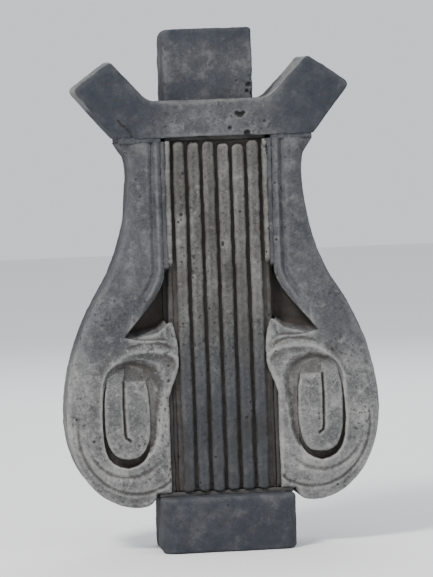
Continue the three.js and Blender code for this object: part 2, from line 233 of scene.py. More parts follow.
def skin(grid, field):
    """The zero surface of a field as points and four-sided faces, by surface nets."""
    solid = field < 0
    counts = [n - 1 for n in field.shape]
    corners = np.zeros(counts, np.int8)
    for i, j, k in itertools.product((0, 1), repeat=3):
        corners += solid[i:counts[0] + i, j:counts[1] + j, k:counts[2] + k]
    cells = np.argwhere((corners > 0) & (corners < 8))
    number = np.full(counts, -1, np.int64)
    number[tuple(cells.T)] = np.arange(len(cells))
    total = np.zeros((len(cells), 3))
    hits = np.zeros(len(cells))
    for axis in range(3):
        sides = [other for other in range(3) if other != axis]
        for offset in itertools.product((0, 1), repeat=2):
            start = cells.copy()
            start[:, sides] += offset
            end = start.copy()
            end[:, axis] += 1
            a, b = field[tuple(start.T)], field[tuple(end.T)]
            crossed = (a < 0) != (b < 0)
            point = start[crossed].astype(float)
            point[:, axis] += a[crossed] / (a[crossed] - b[crossed])
            total[crossed] += point
            hits[crossed] += 1
    points = grid.low + grid.step * total / hits[:, None]
    faces = []
    for axis in range(3):
        before = np.moveaxis(solid, axis, 0)[:-1]
        after = np.moveaxis(solid, axis, 0)[1:]
        for lower, upper, order in ((before, after, (3, 2, 1, 0)), (after, before, (0, 1, 2, 3))):
            spots = np.argwhere(lower & ~upper)
            others = [other for other in range(3) if other != axis]
            spot = np.empty_like(spots)
            spot[:, axis] = spots[:, 0]
            spot[:, others[0]] = spots[:, 1]
            spot[:, others[1]] = spots[:, 2]
            u, v = (axis + 1) % 3, (axis + 2) % 3
            around = []
            for du, dv in ((0, 0), (0, -1), (-1, -1), (-1, 0)):
                cell = spot.copy()
                cell[:, u] += du
                cell[:, v] += dv
                around.append(number[tuple(cell.T)])
            faces.append(np.stack([around[i] for i in order], axis=1))
    return points, np.concatenate(faces)


def without_specks(points, faces):
    """Drops the loose crumbs that the pits and grooves may cut free."""
    label = np.arange(len(points))
    while True:
        lowest = label.copy()
        np.minimum.at(lowest, faces.ravel(), np.repeat(label[faces].min(axis=1), 4))
        lowest = lowest[lowest]
        if (lowest == label).all():
            break
        label = lowest
    sizes = np.bincount(label, minlength=len(points))
    kept = sizes[label] > SPECK
    number = np.cumsum(kept) - 1
    return points[kept], number[faces[kept[faces[:, 0]]]]


def neighbour_mean(values, faces, rounds):
    source = faces.ravel()
    target = np.roll(faces, -1, axis=1).ravel()
    count = np.bincount(target, minlength=len(values))[:, None]
    for _ in range(rounds):
        sums = [np.bincount(target, values[source, c], len(values)) for c in range(values.shape[1])]
        values = np.stack(sums, axis=1) / count
    return values


def normals(points, faces):
    a, b, c, d = (points[faces[:, i]] for i in range(4))
    across = np.cross(c - a, d - b)
    total = [
        sum(np.bincount(faces[:, i], across[:, axis], len(points)) for i in range(4)) for axis in range(3)
    ]
    total = np.stack(total, axis=1)
    return total / np.maximum(np.linalg.norm(total, axis=1), 1e-12)[:, None]


def mesh_object(name, points, faces):
    mesh = bpy.data.meshes.new(name)
    mesh.vertices.add(len(points))
    mesh.vertices.foreach_set("co", (points * MM).astype(np.float32).ravel())
    mesh.loops.add(faces.size)
    mesh.loops.foreach_set("vertex_index", faces.astype(np.int32).ravel())
    mesh.polygons.add(len(faces))
    mesh.polygons.foreach_set("loop_start", np.arange(len(faces), dtype=np.int32) * 4)
    mesh.update(calc_edges=True)
    mesh.validate()
    mesh.shade_smooth()
    piece = bpy.data.objects.new(name, mesh)
    bpy.context.scene.collection.objects.link(piece)
    return piece


def weather(points, faces, roughness=1.0, pitted=0.5, seed=0):
    """Grain and pits on the surface. Returns the new points, and how deep each lies in a pit."""
    x, y, z = points.T
    outward = normals(points, faces)
    grain = 0.16 * noise(x, y, z, 7, seed) + 0.13 * noise(x, y, z, 3.2, seed + 1)
    grain = grain + 0.1 * noise(x, y, z, 1.7, seed + 2)
    patch = smooth(-0.5, 0.6, noise(x, y, z, 22, seed + 3))
    small = pits(points, 4.2, 1.0, 0.3 * pitted, seed) * (0.35 + 0.65 * patch)
    large = pits(points, 11, 1.9, 0.28 * pitted, seed + 4) * patch
    pit = np.maximum(small, large)
    sunk = roughness * grain - 0.55 * small - 1.0 * large
    return points + outward * sunk[:, None], pit


def stone(
    node, grid, field, slot, material, side=1, stain_and_shade=None, growth_and_shade=None, seam=None, scoops=None, **finish
):
    """Turns a carved field into the visible piece that stands for a CAD node. A seam mask is 1 where the
    piece runs on into its neighbour, so that the joint there shows neither wear nor dirt."""
    points, faces = without_specks(*skin(grid, field))
    right_hand = points.copy()
    if side < 0:
        points = points * (-1, 1, 1)
        faces = faces[:, ::-1]
    points, pit = weather(points, faces, **finish)
    if scoops:
        pit = np.maximum(pit, scooped(right_hand, *scoops))
    points[:, 2] = np.maximum(points[:, 2], 0)
    outward = normals(points, faces)
    near = ((neighbour_mean(points, faces, 3) - points) * outward).sum(axis=1)
    wide = ((neighbour_mean(points, faces, 24) - points) * outward).sum(axis=1)
    free = 1 - seam(right_hand) if seam else 1
    piece = mesh_object(f"{node}_stone", points, faces)
    set_mask(piece, "hollow", free * (np.clip(near / 0.12, 0, 1) * 0.5 + np.clip(wide / 0.7, 0, 1) * 0.8))
    set_mask(piece, "worn", free * (np.clip(-near / 0.16, 0, 1) * 0.5 + np.clip(-wide / 1.1, 0, 1) * 0.6))
    set_mask(piece, "pit", pit)
    for name, paint in (("stain_and_shade", stain_and_shade), ("growth_and_shade", growth_and_shade)):
        set_mask(piece, name, paint(right_hand) if paint else np.zeros(len(points)))
    piece.data.materials.append(material)
    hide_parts(node)
    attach(piece, "root")
    return piece


def scooped(points, places, front):
    """1 inside the chips (x, z, radius) that are scooped out of a front face."""
    x, y, z = points.T
    inside = np.zeros(len(points))
    for place_x, place_z, radius in places:
        away = np.hypot(x - place_x, (z - place_z) * 1.25)
        inside = np.maximum(inside, fall(radius, radius + 1, away))
    return 0.6 * inside * plateau(y, (front + 0.3, front + 1.2), (front + 4, front + 5))


def set_mask(piece, name, values):
    layer = piece.data.attributes.new(name, "FLOAT", "POINT")
    layer.data.foreach_set("value", np.clip(values, 0, 1).astype(np.float32))


# ---------- materials ----------

def add(tree, kind, settings=None, **inputs):
    """A shader node with its settings and inputs; an input may be another node's output."""
    node = tree.nodes.new(kind)
    for key, value in (settings or {}).items():
        setattr(node, key, value)
    for key, value in inputs.items():
        socket = node.inputs[key.replace("_", " ")]
        if isinstance(value, bpy.types.NodeSocket):
            tree.links.new(value, socket)
        else:
            socket.default_value = value
    return node


def noise_value(tree, place, scale, detail=3, rough=0.55):
    made = add(tree, "ShaderNodeTexNoise", Vector=place, Scale=scale, Detail=detail, Roughness=rough)
    return made.outputs["Fac"]


def span(tree, value, low, high, to_low=0.0, to_high=1.0):
    """The value stretched from one range to another, and held inside it."""
    made = add(tree, "ShaderNodeMapRange", {"interpolation_type": "SMOOTHSTEP"}, Value=value)
    for key, number in (("From Min", low), ("From Max", high), ("To Min", to_low), ("To Max", to_high)):
        made.inputs[key].default_value = number
    return made.outputs["Result"]


def maths(tree, operation, first, second):
    made = tree.nodes.new("ShaderNodeMath")
    made.operation = operation
    for socket, value in zip(made.inputs, (first, second)):
        if isinstance(value, bpy.types.NodeSocket):
            tree.links.new(value, socket)
        else:
            socket.default_value = value
    return made.outputs[0]


def blend(tree, amount, first, second, mode="MIX"):
    made = tree.nodes.new("ShaderNodeMix")
    made.data_type = "RGBA"
    made.blend_type = mode
    sockets = (made.inputs[0], made.inputs[6], made.inputs[7])
    for socket, value in zip(sockets, (amount, first, second)):
        if isinstance(value, bpy.types.NodeSocket):
            tree.links.new(value, socket)
        elif isinstance(value, tuple):
            socket.default_value = (*value, 1)
        else:
            socket.default_value = value
    return made.outputs[2]


def mask(tree, name):
    return add(tree, "ShaderNodeAttribute", {"attribute_name": name}).outputs["Fac"]


def stone_material(name, base, shade, pale, brown_dirt_and_shade, lichen=0.5, staining=0.8):
    """Weathered cast stone: sandy grain, cloudy tone, dark growth in patches and specks, dirt and wear, and
    painted shade through the growth and stain masks.
    """
    material = bpy.data.materials.new(name)
    material.use_nodes = True
    tree = material.node_tree
    surface = tree.nodes["Principled BSDF"]
    place = add(tree, "ShaderNodeTexCoord").outputs["Object"]

    clouds = noise_value(tree, place, 26, 4)
    blotches = noise_value(tree, place, 62, 5, 0.6)
    long_way = add(tree, "ShaderNodeVectorMath", {"operation": "MULTIPLY"})
    tree.links.new(place, long_way.inputs[0])
    long_way.inputs[1].default_value = (1, 1, 0.22)
    streaks = noise_value(tree, long_way.outputs["Vector"], 170, 3, 0.6)
    mottle = noise_value(tree, place, 130, 4, 0.6)
    sand = noise_value(tree, place, 900, 2, 0.7)
    grains = add(tree, "ShaderNodeTexVoronoi", Vector=place, Scale=1100)
    grit = add(tree, "ShaderNodeSeparateColor", Color=grains.outputs["Color"]).outputs["Red"]

    colour = blend(tree, span(tree, clouds, 0.35, 0.68), base, shade)
    colour = blend(tree, span(tree, blotches, 0.5, 0.7, 0, 0.5), colour, pale)
    colour = blend(tree, span(tree, blotches, 0.48, 0.3, 0, 0.6), colour, shade)
    colour = blend(tree, span(tree, streaks, 0.52, 0.7, 0, 0.5), colour, shade)
    colour = blend(tree, span(tree, mottle, 0.52, 0.72, 0, 0.6), colour, pale)
    colour = blend(tree, span(tree, mottle, 0.46, 0.28, 0, 0.65), colour, shade)
    colour = blend(tree, span(tree, grit, 0.0, 1.0, 0.0, 0.34), colour, (0.02, 0.02, 0.02))
    colour = blend(tree, span(tree, sand, 0.52, 0.76, 0, 0.5), colour, pale)
    colour = blend(tree, maths(tree, "MULTIPLY", mask(tree, "worn"), 0.55), colour, pale)

    # The growth mask blends in a dark blue-grey: dark growth, and painted shade on the upper pieces, the
    # base and the lower strings.
    algae_and_shade = maths(tree, "MULTIPLY", mask(tree, "growth_and_shade"), span(tree, mottle, 0.2, 0.7, 1.0, 0.86))
    colour = blend(tree, algae_and_shade, colour, (0.021, 0.025, 0.034))

    edge_noise = noise_value(tree, place, 300, 3, 0.7)
    growth_and_shade = span(tree, noise_value(tree, place, 42, 3), 0.42, 0.62)
    specks = span(tree, noise_value(tree, place, 380, 3, 0.65), 0.56, 0.64)
    growth_and_shade = maths(tree, "MULTIPLY", maths(tree, "MULTIPLY", growth_and_shade, specks), lichen)
    colour = blend(tree, growth_and_shade, colour, (0.028, 0.029, 0.031))
    dirt = maths(tree, "MULTIPLY", mask(tree, "hollow"), span(tree, edge_noise, 0.2, 0.7, 0.55, 1.0))
    colour = blend(tree, maths(tree, "MULTIPLY", dirt, staining), colour, brown_dirt_and_shade)
    # The stain mask blends in brown: stains, and painted shade in the recess, the grooves, the channel and
    # between the strings.
    stain_and_shade_amount = maths(tree, "MULTIPLY", mask(tree, "stain_and_shade"), span(tree, mottle, 0.25, 0.65, 0.6, 1.0))
    colour = blend(tree, stain_and_shade_amount, colour, brown_dirt_and_shade)
    black = span(tree, mask(tree, "pit"), 0.15, 0.7, 0, 0.9)
    colour = blend(tree, black, colour, (0.02, 0.02, 0.021))
    tree.links.new(colour, surface.inputs["Base Color"])

    rough = span(tree, mottle, 0.3, 0.7, 0.84, 0.98)
    tree.links.new(rough, surface.inputs["Roughness"])
    surface.inputs["Specular IOR Level"].default_value = 0.22

    height = maths(tree, "ADD", maths(tree, "MULTIPLY", sand, 0.5), maths(tree, "MULTIPLY", mottle, 0.9))
    height = maths(tree, "ADD", height, maths(tree, "MULTIPLY", grit, 0.18))
    relief = add(tree, "ShaderNodeBump", Height=height, Strength=0.55, Distance=0.0011)
    tree.links.new(relief.outputs["Normal"], surface.inputs["Normal"])
    return material


def steel_material():
    """Dull reinforcing steel with a brushed, spotted surface."""
    material = bpy.data.materials.new("dowel_steel")
    material.use_nodes = True
    tree = material.node_tree
    surface = tree.nodes["Principled BSDF"]
    place = add(tree, "ShaderNodeTexCoord").outputs["Object"]
    spots = noise_value(tree, place, 260, 4, 0.6)
    colour = blend(tree, span(tree, spots, 0.5, 0.75), (0.42, 0.43, 0.44), (0.16, 0.1, 0.07))
    tree.links.new(colour, surface.inputs["Base Color"])
    tree.links.new(span(tree, spots, 0.4, 0.75, 0.35, 0.8), surface.inputs["Roughness"])
    surface.inputs["Metallic"].default_value = 1.0
    return material


# Brown for dirt in hollows, and for the stain mask, which also paints shade.
DIRT_AND_SHADE_BROWN = (0.042, 0.035, 0.03)
cast_stone = stone_material(
    "cast_stone", base=(0.168, 0.167, 0.166), shade=(0.076, 0.077, 0.08), pale=(0.335, 0.33, 0.318),
    brown_dirt_and_shade=DIRT_AND_SHADE_BROWN, lichen=0.8,
)
rib_stone = stone_material(
    "rib_stone", base=(0.098, 0.096, 0.091), shade=(0.043, 0.041, 0.038), pale=(0.212, 0.206, 0.194),
    brown_dirt_and_shade=(0.024, 0.02, 0.016), lichen=0.95,
)
mortar = stone_material(
    "mortar", base=(0.16, 0.159, 0.158), shade=(0.075, 0.076, 0.079), pale=(0.3, 0.295, 0.286),
    brown_dirt_and_shade=DIRT_AND_SHADE_BROWN, lichen=0.8,
)
steel = steel_material()

# ---------- the carving ----------

SIDES = (("right", 1), ("left", -1))
ARM_DOWELS = ("yoke_dowel", "upper_tie_dowel", "lower_tie_dowel", "scroll_pin")

# Roundings of the CAD solids' front and back edges. A CAD outline is read where its rounding ends.
ARM_ROUND = 2.4
YOKE_ROUND = 2.0
BLOCK_ROUND = 1.5
CORE_ROUND = 1.0
BEAD_ROUND = 1.0
BEDDED = 0.15  # neighbouring pieces overlap this much, so that no crack shows between them
LAP = 0.9  # and this much where a joint is to be hidden

arm_low, arm_high = box_mm("right_arm")
panel_low, panel_high = box_mm("string_panel")
core_low, core_high = box_mm("right_scroll_core")
bead_low, bead_high = box_mm("right_bead")
yoke_low, yoke_high = box_mm("yoke")
block_low, block_high = box_mm("top_block")
base_low, base_high = box_mm("base_block")
border_back = box_mm("right_border")[1][1]
string_low, string_high = box_mm("string_1")
top_bed_low, _ = box_mm("top_bed")

ARM_FRONT, ARM_BACK = arm_low[1], arm_high[1]
ARM_INNER, ARM_TOP = arm_low[0], arm_high[2]
CORE = (core_low + core_high) / 2

# The faces of the arms rise forward to meet the face of the yoke.
SWELL_FOOT = 238
SWELL = 3.1

# At the joint under the yoke, outlines are carried on this far past it, so that only free edges are worn.
JOINT_CARRY = 12
NECK_FROM = 50  # outside this an outline leans out with the neck
NECK_SLOPE, YOKE_SLOPE = 0.6, 0.86  # how far each leans out per millimetre of height at their joint

# Relief of the right-hand arm, seen from the front as (x, z). Four points are a Bezier curve, and the two
# lines under the scroll are parts of ovals (centre x, centre z, radius x, radius z).
RIM_SIDES = (
    [(28, 122), (30, 131), (41, 132.4), (52.5, 132)],
    [(52.5, 132), (66, 131.6), (76, 124), (78.6, 98)],
)
RIM_LINE = [(35, 134), (40, 137.6), (50, 138), (61, 134.6)]
LOBE_SIDES = (
    [(37.2, 92), (36.6, 106), (30.6, 112), (28.9, 122)],
    [(28.9, 122), (27.9, 131), (29.4, 142), (31.5, 150)],
)
LOBE_BURIED_SIDE = [(44, 152), (44, 92)]
OUTER_LINE = (58, 81.5, 38, 42.6)
INNER_LINE = (64, 80.5, 27.6, 30.6)
HOOK = [(65.3, 112.5), (65.7, 97), (65.3, 79), (64.7, 75.8), (62.4, 74.1)]
TONGUE_EDGE, TONGUE_TOP = 64.7, 113
CORE_SHOULDER, CORE_TOP_RADIUS = 106, 15  # where the core's round top begins, and its radius
RECESS_SWEEP = [(ARM_INNER, 186), (ARM_INNER, 173), (48.5, 160), (63.4, 141.4)]
RECESS_SILL = [(58, 140), (49.5, 138.6), (ARM_INNER - 6, 138.5), (ARM_INNER - 6, 186)]
SWEEP = [(ARM_INNER, ARM_TOP + 20), *curve(RECESS_SWEEP)]
BEAD_WIDTH = 6.8
BEAD_SUNK = 58  # outside this the bead's end lies just under the arm's face
CHANNEL_DEPTH = 3.5
RECESS_DEPTH = 16
RECESS_SPAN = (138.5, 186)

# How far each string's rounded head stops below the panel's top.
HEADS = (0.6, 0.9, 0.5, 2.7, 3.4, 1.1)
BORDER_CUT = (20, RECESS_SPAN[1])  # heights between which the border is cut back
CUT_BACK = 4.0
BORDER_RISE = SWELL - 0.4  # how far the border's face rises towards the yoke, beside the arm's

# Marks in the front faces of the yoke and the block: a crack's path, and chips (x, z, radius).
YOKE_CRACK = [(-63.5, 282), (-60.5, 278.5), (-58.5, 277.7), (-55.6, 274), (-54.6, 271)]
YOKE_CHIPS = [
    (16.6, 283.3, 2.2), (18.6, 284.6, 1.6), (14.4, 284.4, 1.5), (9.4, 274.9, 1.3), (20.8, 271.4, 2.2),
]
BLOCK_CHIPS = [(23.8, 302.6, 1.9), (22.4, 298.4, 1.3), (15.6, 305.4, 0.9), (26.4, 297, 2.2)]
BLOCK_WORN_CORNER = 7
BLOCK_SUNK = 5
BASE_CORNER = 9

# Front and back of the mortar beds.
BASE_BED_DEPTHS = (-13.2, 22)
CENTRE_BED_DEPTHS = (-10.4, 25.4)
YOKE_BED_DEPTHS = (-18.6, 25.7)
ARM_BED_DEPTHS = (-18.2, 25.4)
YOKE_BED_REACH = 63
TOP_BED_INSET = 2.4
ARM_BED_STEP = 0.6 * COARSE


def swell(z):
    return SWELL * smooth(SWELL_FOOT, ARM_TOP, z)


def carried_past(outline, level, reach, slope=NECK_SLOPE):
    """Carries an outline on past a level where two stones meet, so that only the other edges are worn."""
    carried = outline.copy()
    ends = np.abs(outline[:, 1] - level) < 1
    carried[ends, 1] += reach
    outer = ends & (np.abs(outline[:, 0]) > NECK_FROM)
    carried[outer, 0] += np.sign(outline[outer, 0]) * slope * reach
    return carried


def oval(px, pz, shape):
    """Rough distance outside an oval, and the angle around it in degrees."""
    cx, cz, rx, rz = shape
    away = np.hypot((px - cx) / rx, (pz - cz) / rz)
    angle = np.degrees(np.arctan2((pz - cz) / rz, (px - cx) / rx))
    return (away - 1) * (rx + rz) / 2, angle


def between(angle, start, end, fade):
    """1 inside a range of angles, fading to 0 outside it."""
    middle, half = (start + end) / 2, (end - start) / 2
    turned = np.abs((angle - middle + 180) % 360 - 180)
    return fall(half - fade / 2, half + fade / 2, turned)


def scroll_relief(px, pz, edge, core):
    """How far the arm's face lies behind its front plane."""
    relief = 3.4 * np.clip(1 + edge / 14, 0, 1) ** 2 * smooth(46, 60, px)
    _, turn = oval(px, pz, (CORE[0], CORE[2], 1, 2))
    width = channel_width(turn)
    relief += CHANNEL_DEPTH * smooth(0.2, 2.4, width) * fall(0.55 * width, width + 1.2, core)
    left_side, right_side = (curve(part) for part in RIM_SIDES)
    rim = path_distance(px, pz, [*left_side, *right_side[1:]])
    relief -= 2.0 * bump(rim, 2.7) * smooth(97, 116, pz)
    relief += 0.9 * bump(path_distance(px, pz, curve(RIM_LINE)), 0.9)
    beside_bead = bump(path_distance(px, pz, SWEEP) - BEAD_WIDTH, 1.6) * fall(48, 60, px)
    relief += 1.5 * beside_bead * smooth(138, 155, pz)
    line, around = oval(px, pz, OUTER_LINE)
    relief += between(around, -150, 6, 36) * 1.1 * bump(line, 1.1)
    relief += between(around, -140, 0, 40) * 0.7 * smooth(0, 4, line)
    line, around = oval(px, pz, INNER_LINE)
    relief += between(around, -128, -30, 36) * 0.9 * bump(line, 1.3)
    return relief, turn


def channel_width(turn):
    """Width of the shallow channel around the scroll's core, by the angle around it."""
    angles = [-180, -160, -140, -118, 5, 35, 60, 90, 121, 141, 157, 168, 180]
    widths = [6.5, 5.5, 4, 0, 0, 1.8, 3, 4.5, 7, 11, 12, 9, 6.5]
    return np.interp(turn, angles, widths)


def moat(turn):
    """Width and depth of the deep groove around the scroll's core, by the angle around it."""
    angles = [-180, -150, -125, -90, -60, -25, 10, 35, 60, 180]
    widths = [-1, 1.4, 3.8, 6.0, 4.6, 2.0, 1.2, 0.8, -1, -1]
    depths = [2.0, 4.0, 7.0, 8.5, 8.0, 5.2, 3.6, 2.2, 1.0, 1.0]
    return np.interp(turn, angles, widths), np.interp(turn, angles, depths)


def arm_stain_and_shade(points):
    """Brown stain and painted shade in the recess, less of it on its sill, which is left paler as if lit
    from above, and in the groove and channel around the core.
    """
    x, y, z = points.T
    behind = y - ARM_FRONT
    recess = smooth(2.5, 8, behind) * fall(3, 8, y) * plateau(z, (137, 143), (182, 188)) * fall(66, 70, x)
    sill = 1 - 0.75 * fall(8, 13, behind) * fall(147, 156, z + 0.3 * x - 12)
    around_core = plateau(x, (44, 47), (80, 83)) * plateau(z, (51, 55), (121, 127)) * fall(9, 12, behind)
    moat_floor = 0.9 * smooth(3.8, 6, behind)
    channel = 0.55 * smooth(1.4, 3.2, behind)
    return np.maximum(recess * sill, around_core * np.maximum(moat_floor, channel))


def arm_seam(points):
    """The arm runs on into the yoke, into the bead, more so past its end, and over the top of the core."""
    x, y, z = points.T
    beside_bead = fall(0.6, 2.0, np.abs(path_distance(x, z, SWEEP) - BEAD_WIDTH))
    end_x, end_z = RECESS_SWEEP[-1]
    past_bead = smooth(-4, -1, x - end_x) * fall(9, 11, np.hypot(x - end_x, z - end_z))
    core_top = np.abs(np.hypot(x - CORE[0], z - CORE_SHOULDER) - CORE_TOP_RADIUS)
    over_core = smooth(CORE_SHOULDER, 113, z) * fall(0.4, 2, core_top)
    at_front = fall(3.5, 6.5, y - ARM_FRONT) * np.maximum.reduce([0.2 * beside_bead, past_bead, over_core])
    return np.maximum(near_joint(ARM_TOP - z), at_front)


def near_joint(away):
    return fall(0.6, 2.4, away)


def bead_seam(points):
    x, _, z = points.T
    beside_arm = np.maximum(smooth(3.8, 5.4, path_distance(x, z, SWEEP)), smooth(57, 61, x))
    return np.maximum(near_joint(ARM_TOP - z), beside_arm)


def yoke_seam(points):
    x, _, z = points.T
    return near_joint(z - yoke_low[2]) * smooth(ARM_INNER, ARM_INNER + 2, np.abs(x))


def arm_growth_and_shade(points):
    """Dark growth and painted shade on the neck and the upper arm, and darker on the sides and back."""
    x, y, z = points.T
    upper = 0.65 * smooth(126, 164, z + 18 * smooth(58, 72, x)) + 0.05 * smooth(200, 266, z)
    behind_face = 0.35 * smooth(-5, 15, y)
    return upper + behind_face + 0.02


def side_outlines(side_name, side):
    """Outlines of an arm, its bead and its scroll core, as they would be on the right."""
    arm = ring(f"{side_name}_arm", ARM_BACK - ARM_ROUND)
    bead = ring(f"{side_name}_bead", bead_low[1] + BEAD_ROUND)
    core = ring(f"{side_name}_scroll_core", core_low[1] + CORE_ROUND)
    return [outline * (side, 1) for outline in (arm, bead, core)]


def outline_fields(grid, *outlines):
    return [outline_distance(grid.flat[0], grid.flat[2], outline) for outline in outlines]


def side_seed(side):
    return 20 + side


def side_lumps(grid, side):
    """Unevenness that runs on through an arm, its bead and its core."""
    seed = side_seed(side)
    return 0.3 * grid.noise(17, seed + 3) + 0.14 * grid.noise(6, seed + 5)


def lobe_field(grid, pz, face):
    """The lobe beside the scroll, which laps over the border and sinks back towards the recess."""
    lower_side, upper_side = (curve(part) for part in LOBE_SIDES)
    outline = np.concatenate([lower_side, upper_side[1:], LOBE_BURIED_SIDE])
    (edge,) = outline_fields(grid, outline)
    lobe_face = face + (0.1 + 3.2 * smooth(134, 150, pz))[:, None, :]
    depth = np.maximum(lobe_face - grid.y, grid.y - border_back - 0.6)
    return rounded(edge[:, None, :], depth, 2.2)


def recess_field(grid, px, pz):
    """The recess above the scroll. Its floor slopes back from a sill, which is higher at its inner end."""
    (recess,) = outline_fields(grid, np.concatenate([curve(RECESS_SWEEP), np.array(RECESS_SILL)]))
    sill = RECESS_SPAN[0] + 1.5 + np.interp(px, [ARM_INNER - 4, 42, 56], [11, 3, 0])
    lip = 2 - 1.8 * fall(139, 150, pz) * fall(34, 40, px)
    floor = np.minimum(RECESS_DEPTH, lip + 2.6 * np.clip(pz - sill, 0, None))
    return np.maximum(recess[:, None, :], grid.y - ARM_FRONT - floor[:, None, :])


def carve_arm(side_name, side):
    arm_outline, bead_outline, core_outline = side_outlines(side_name, side)
    low = (LOBE_SIDES[0][3][0] - 1, arm_low[1] - SWELL, arm_low[2])
    grid = Grid(low, arm_high, FINE)
    px, pz = grid.front_view()
    outlines = (carried_past(arm_outline, ARM_TOP, JOINT_CARRY), core_outline, bead_outline)
    edge, core, bead = outline_fields(grid, *outlines)
    relief, turn = scroll_relief(px, pz, edge, core)
    relief -= swell(pz)
    edge = edge - 0.9 * smooth(254, ARM_TOP, pz) * (px > NECK_FROM)

    seed = side_seed(side)
    face = (ARM_FRONT + relief)[:, None, :]
    wear = np.clip(ARM_ROUND + 0.9 * grid.noise(26, seed), 1.2, 4)
    field = rounded(edge[:, None, :], np.maximum(face - grid.y, grid.y - ARM_BACK), wear)
    field = np.minimum(field, lobe_field(grid, pz, face))

    width, deep = moat(turn)
    groove = np.maximum((core - width)[:, None, :], grid.y - ARM_FRONT - deep[:, None, :])
    field = rounded(field, -groove, 0.5)
    bead_pocket = np.maximum(bead + 0.1, px - BEAD_SUNK + 0.5)
    for shape, back in ((core, core_high[1]), (bead_pocket, bead_high[1])):
        pocket = np.maximum(shape[:, None, :] + BEDDED, grid.y - back + BEDDED)
        field = np.maximum(field, -pocket)
    field = rounded(field, -recess_field(grid, px, pz), 0.8)
    field = np.maximum(field, grid.z - ARM_TOP)
    field = drill(grid, field, [f"{side_name}_{kind}" for kind in ARM_DOWELS], side)
    field += side_lumps(grid, side)
    stone(
        f"{side_name}_arm", grid, field, "cast_stone", cast_stone, side=side,
        stain_and_shade=arm_stain_and_shade, growth_and_shade=arm_growth_and_shade, seam=arm_seam, pitted=0.6, seed=seed,
    )


def carve_bead(side_name, side):
    """The rolled bead, whose face runs into the arm's face along its outer side and at its lower end."""
    arm_outline, bead_outline, core_outline = side_outlines(side_name, side)
    grid = Grid(bead_low - (0, SWELL, 0), bead_high, RIB_FINE)
    px, pz = grid.front_view()
    outlines = (carried_past(bead_outline, ARM_TOP, JOINT_CARRY), arm_outline, core_outline)
    edge, arm_edge, core = outline_fields(grid, *outlines)
    relief, _ = scroll_relief(px, pz, arm_edge, core)
    inner_edge = path_distance(px, pz, SWEEP)
    roll = 2.8 * np.clip(1 - inner_edge / 3.8, 0, 1) ** 2
    roll += (ARM_FRONT - bead_low[1] + 1.6) * smooth(3.2, BEAD_WIDTH - 0.3, inner_edge)
    merging = smooth(46, 57, px)
    face = (1 - merging) * (bead_low[1] + roll) + merging * (ARM_FRONT + relief)
    face = face + 0.5 * smooth(215, 262, pz) + 0.5 * smooth(BEAD_SUNK, BEAD_SUNK + 2, px) - swell(pz)
    lapped = edge - LAP * smooth(3, 5, inner_edge)
    depth = np.maximum(face[:, None, :] - grid.y, grid.y - bead_high[1])
    field = np.maximum(lapped[:, None, :], depth)
    field = np.maximum(field, grid.z - ARM_TOP)
    field += side_lumps(grid, side)
    stone(
        f"{side_name}_bead", grid, field, "cast_stone", cast_stone, side=side, growth_and_shade=arm_growth_and_shade,
        seam=bead_seam, pitted=0.6, seed=side_seed(side),
    )


# Painted shade with brown stain in the hooked line and in the channel over the tongue.
def core_stain_and_shade(points):
    x, y, z = points.T
    behind = y - core_low[1]
    hook = 0.9 * bump(path_distance(x, z, HOOK), 1.0) * smooth(0.8, 2, behind)
    over_tongue = 0.5 * smooth(1.4, 3.2, behind) * smooth(CORE_SHOULDER, 113, z)
    return np.maximum(hook, over_tongue)


def core_seam(points):
    return smooth(109, 114, points[:, 2])


def carve_core(side_name, side):
    """The scroll's core: the hooked line is cut in its face, and its top lies flush with the arm."""
    grid = Grid(core_low, core_high, RIB_FINE)
    px, pz = grid.front_view()
    (edge,) = outline_fields(grid, side_outlines(side_name, side)[2])
    relief = 0.9 * np.clip(1 + edge / 9, 0, 1) ** 2
    relief += 2.6 * bump(path_distance(px, pz, HOOK), 0.85)
    right_of_tongue = smooth(-0.6, 1.2, px - TONGUE_EDGE)
    over_tongue = smooth(TONGUE_TOP - 0.8, TONGUE_TOP + 0.8, pz) * (1 - right_of_tongue)
    band_end = smooth(110, 121, pz) * right_of_tongue
    relief = np.maximum(relief, CHANNEL_DEPTH * np.maximum(over_tongue, 0.7 * band_end))
    face = (core_low[1] + relief)[:, None, :]
    flush = smooth(109, 115, pz)
    wear = np.clip(1.5 + 0.5 * grid.noise(15, 40 + side), 0.8, 2.2) * (1 - flush[:, None, :])
    lapped = (edge - LAP * flush)[:, None, :]
    field = rounded(lapped, np.maximum(face - grid.y, grid.y - core_high[1]), wear + 0.01)
    field = drill(grid, field, [f"{side_name}_scroll_pin"], side)
    field += side_lumps(grid, side)
    stone(
        f"{side_name}_scroll_core", grid, field, "cast_stone", cast_stone, side=side, stain_and_shade=core_stain_and_shade,
        seam=core_seam, pitted=0.6, seed=side_seed(side),
    )


# Brown stain and damp streaks on the ribs. Their sides down in the grooves are also darkened as painted
# shade, and so are the borders beside the recess.
def rib_stain_and_shade(points):
    x, y, z = points.T
    sides = smooth(string_low[1] + 1.6, string_high[1] - 0.6, y)
    damp = smooth(-0.1, 0.7, noise(x, np.zeros_like(x), z * 0.35, 9, 50))
    shade_beside_recess = smooth(29, 30, np.abs(x)) * fall(182, 187, z)
    return np.maximum.reduce([0.85 * sides, 0.38 * damp, 0.8 * shade_beside_recess])


# A painted shadow over the lower part of the strings and borders, fading out upwards.
def rib_painted_shadow(points):
    return 0.76 * fall(92, 186, points[:, 2])


